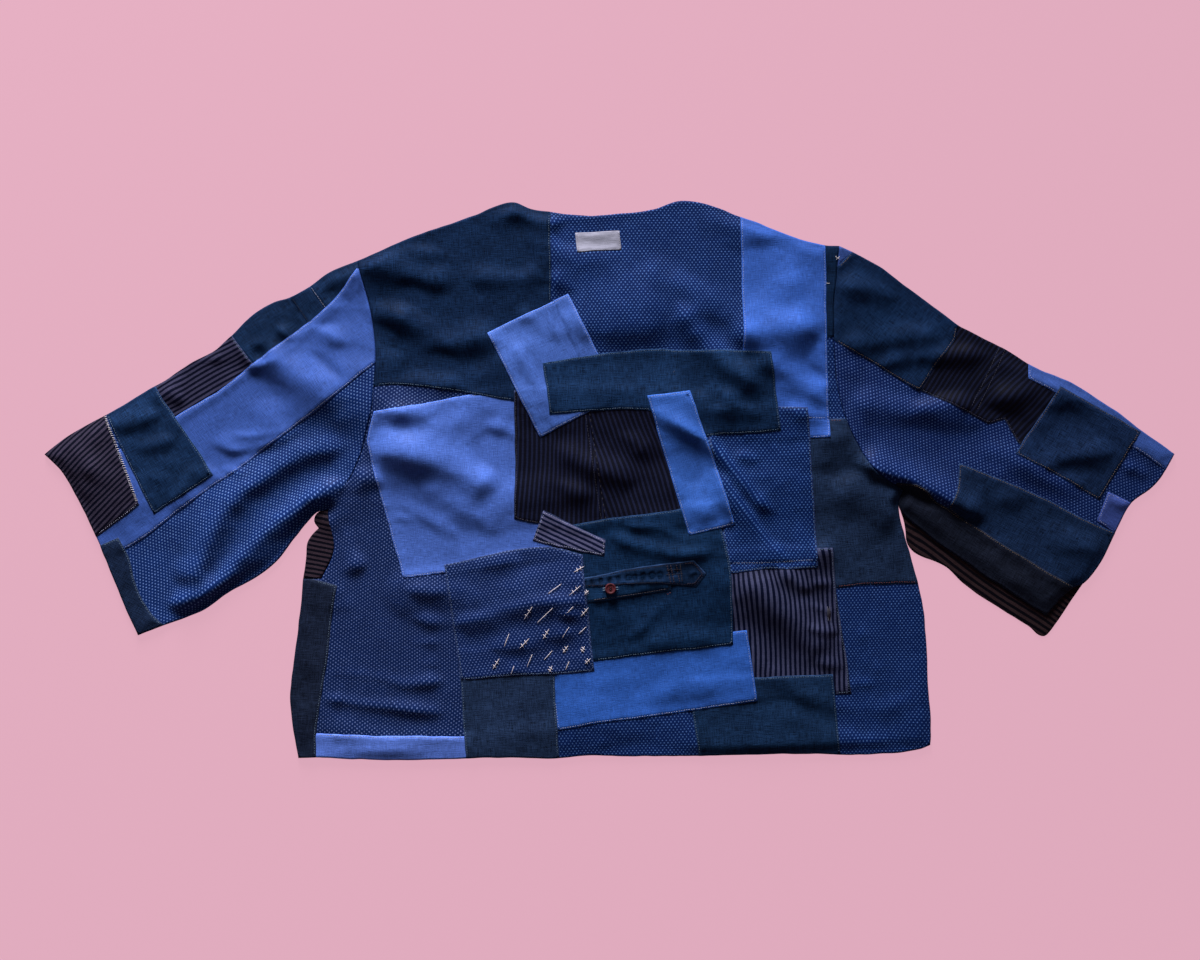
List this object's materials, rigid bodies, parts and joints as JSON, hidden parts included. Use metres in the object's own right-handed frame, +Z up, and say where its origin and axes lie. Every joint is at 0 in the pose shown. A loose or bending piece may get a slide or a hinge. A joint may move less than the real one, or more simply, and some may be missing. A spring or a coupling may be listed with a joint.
{
  "type": "patched boro jacket",
  "caption": "Wide-sleeved collarless jacket laid flat with its back up, its indigo cloth covered in overlapping sewn patches with one darned scrap and a worn buttoned placket.",
  "frame": {"origin": "middle of the laid-out jacket's extent, on the surface that it lies on", "axes": "+X to the wearer's right across the sleeves, +Y from hem to neck, +Z up, out of the jacket's back"},
  "size_m": [1.1316, 0.5606, 0.0125],
  "materials": {
    "dotted_indigo": "matt woven indigo cotton with small off-white dots",
    "blue_chambray": "matt faded blue chambray",
    "teal_denim": "matt dark teal denim, worn",
    "grey_stripe": "matt navy cotton with grey stripes",
    "dark_stripe": "matt near-black cotton with dark blue stripes",
    "label_cotton": "matt cream cotton tape, no lettering",
    "button_resin": "satin maroon resin"
  },
  "bodies": {
    "root": {"back_left": "dotted_indigo", "back_right": "dotted_indigo", "front_left": "dotted_indigo", "front_right": "dotted_indigo", "sleeve_left": "dotted_indigo", "sleeve_left_under": "dotted_indigo", "sleeve_right": "dotted_indigo", "sleeve_right_under": "grey_stripe", "side_piece_stripe": "grey_stripe", "yoke_teal": "teal_denim", "strip_teal_shoulder": "teal_denim", "strip_blue_shoulder": "blue_chambray", "patch_teal_side": "teal_denim", "patch_blue_left": "blue_chambray", "patch_dark_stripe": "dark_stripe", "patch_grey_stripe": "grey_stripe", "patch_dot_right": "dotted_indigo", "patch_teal_hem_right": "teal_denim", "strip_blue_low": "blue_chambray", "strip_blue_hem": "blue_chambray", "patch_teal_hem_centre": "teal_denim", "strip_teal_side": "teal_denim", "patch_teal_placket": "teal_denim", "placket_underlap": "teal_denim", "placket_strap": "teal_denim", "patch_dot_darned": "dotted_indigo", "patch_blue_tilted": "blue_chambray", "band_teal": "teal_denim", "strip_blue_tilted": "blue_chambray", "scrap_grey_stripe": "grey_stripe", "neck_label": "label_cotton", "button": "button_resin", "sleeve_left_teal_top": "teal_denim", "sleeve_left_stripe": "grey_stripe", "sleeve_left_blue": "blue_chambray", "sleeve_left_teal_square": "teal_denim", "cuff_left_stripe": "grey_stripe", "cuff_left_teal": "teal_denim", "shoulder_scrap_blue": "blue_chambray", "sleeve_right_dark_stripe": "dark_stripe", "sleeve_right_teal_cap": "teal_denim", "sleeve_right_blue_edge": "blue_chambray", "sleeve_right_teal_square": "teal_denim", "cuff_right_blue": "blue_chambray", "sleeve_right_teal_upper": "teal_denim", "sleeve_right_teal_lower": "teal_denim"}
  },
  "joints": []
}
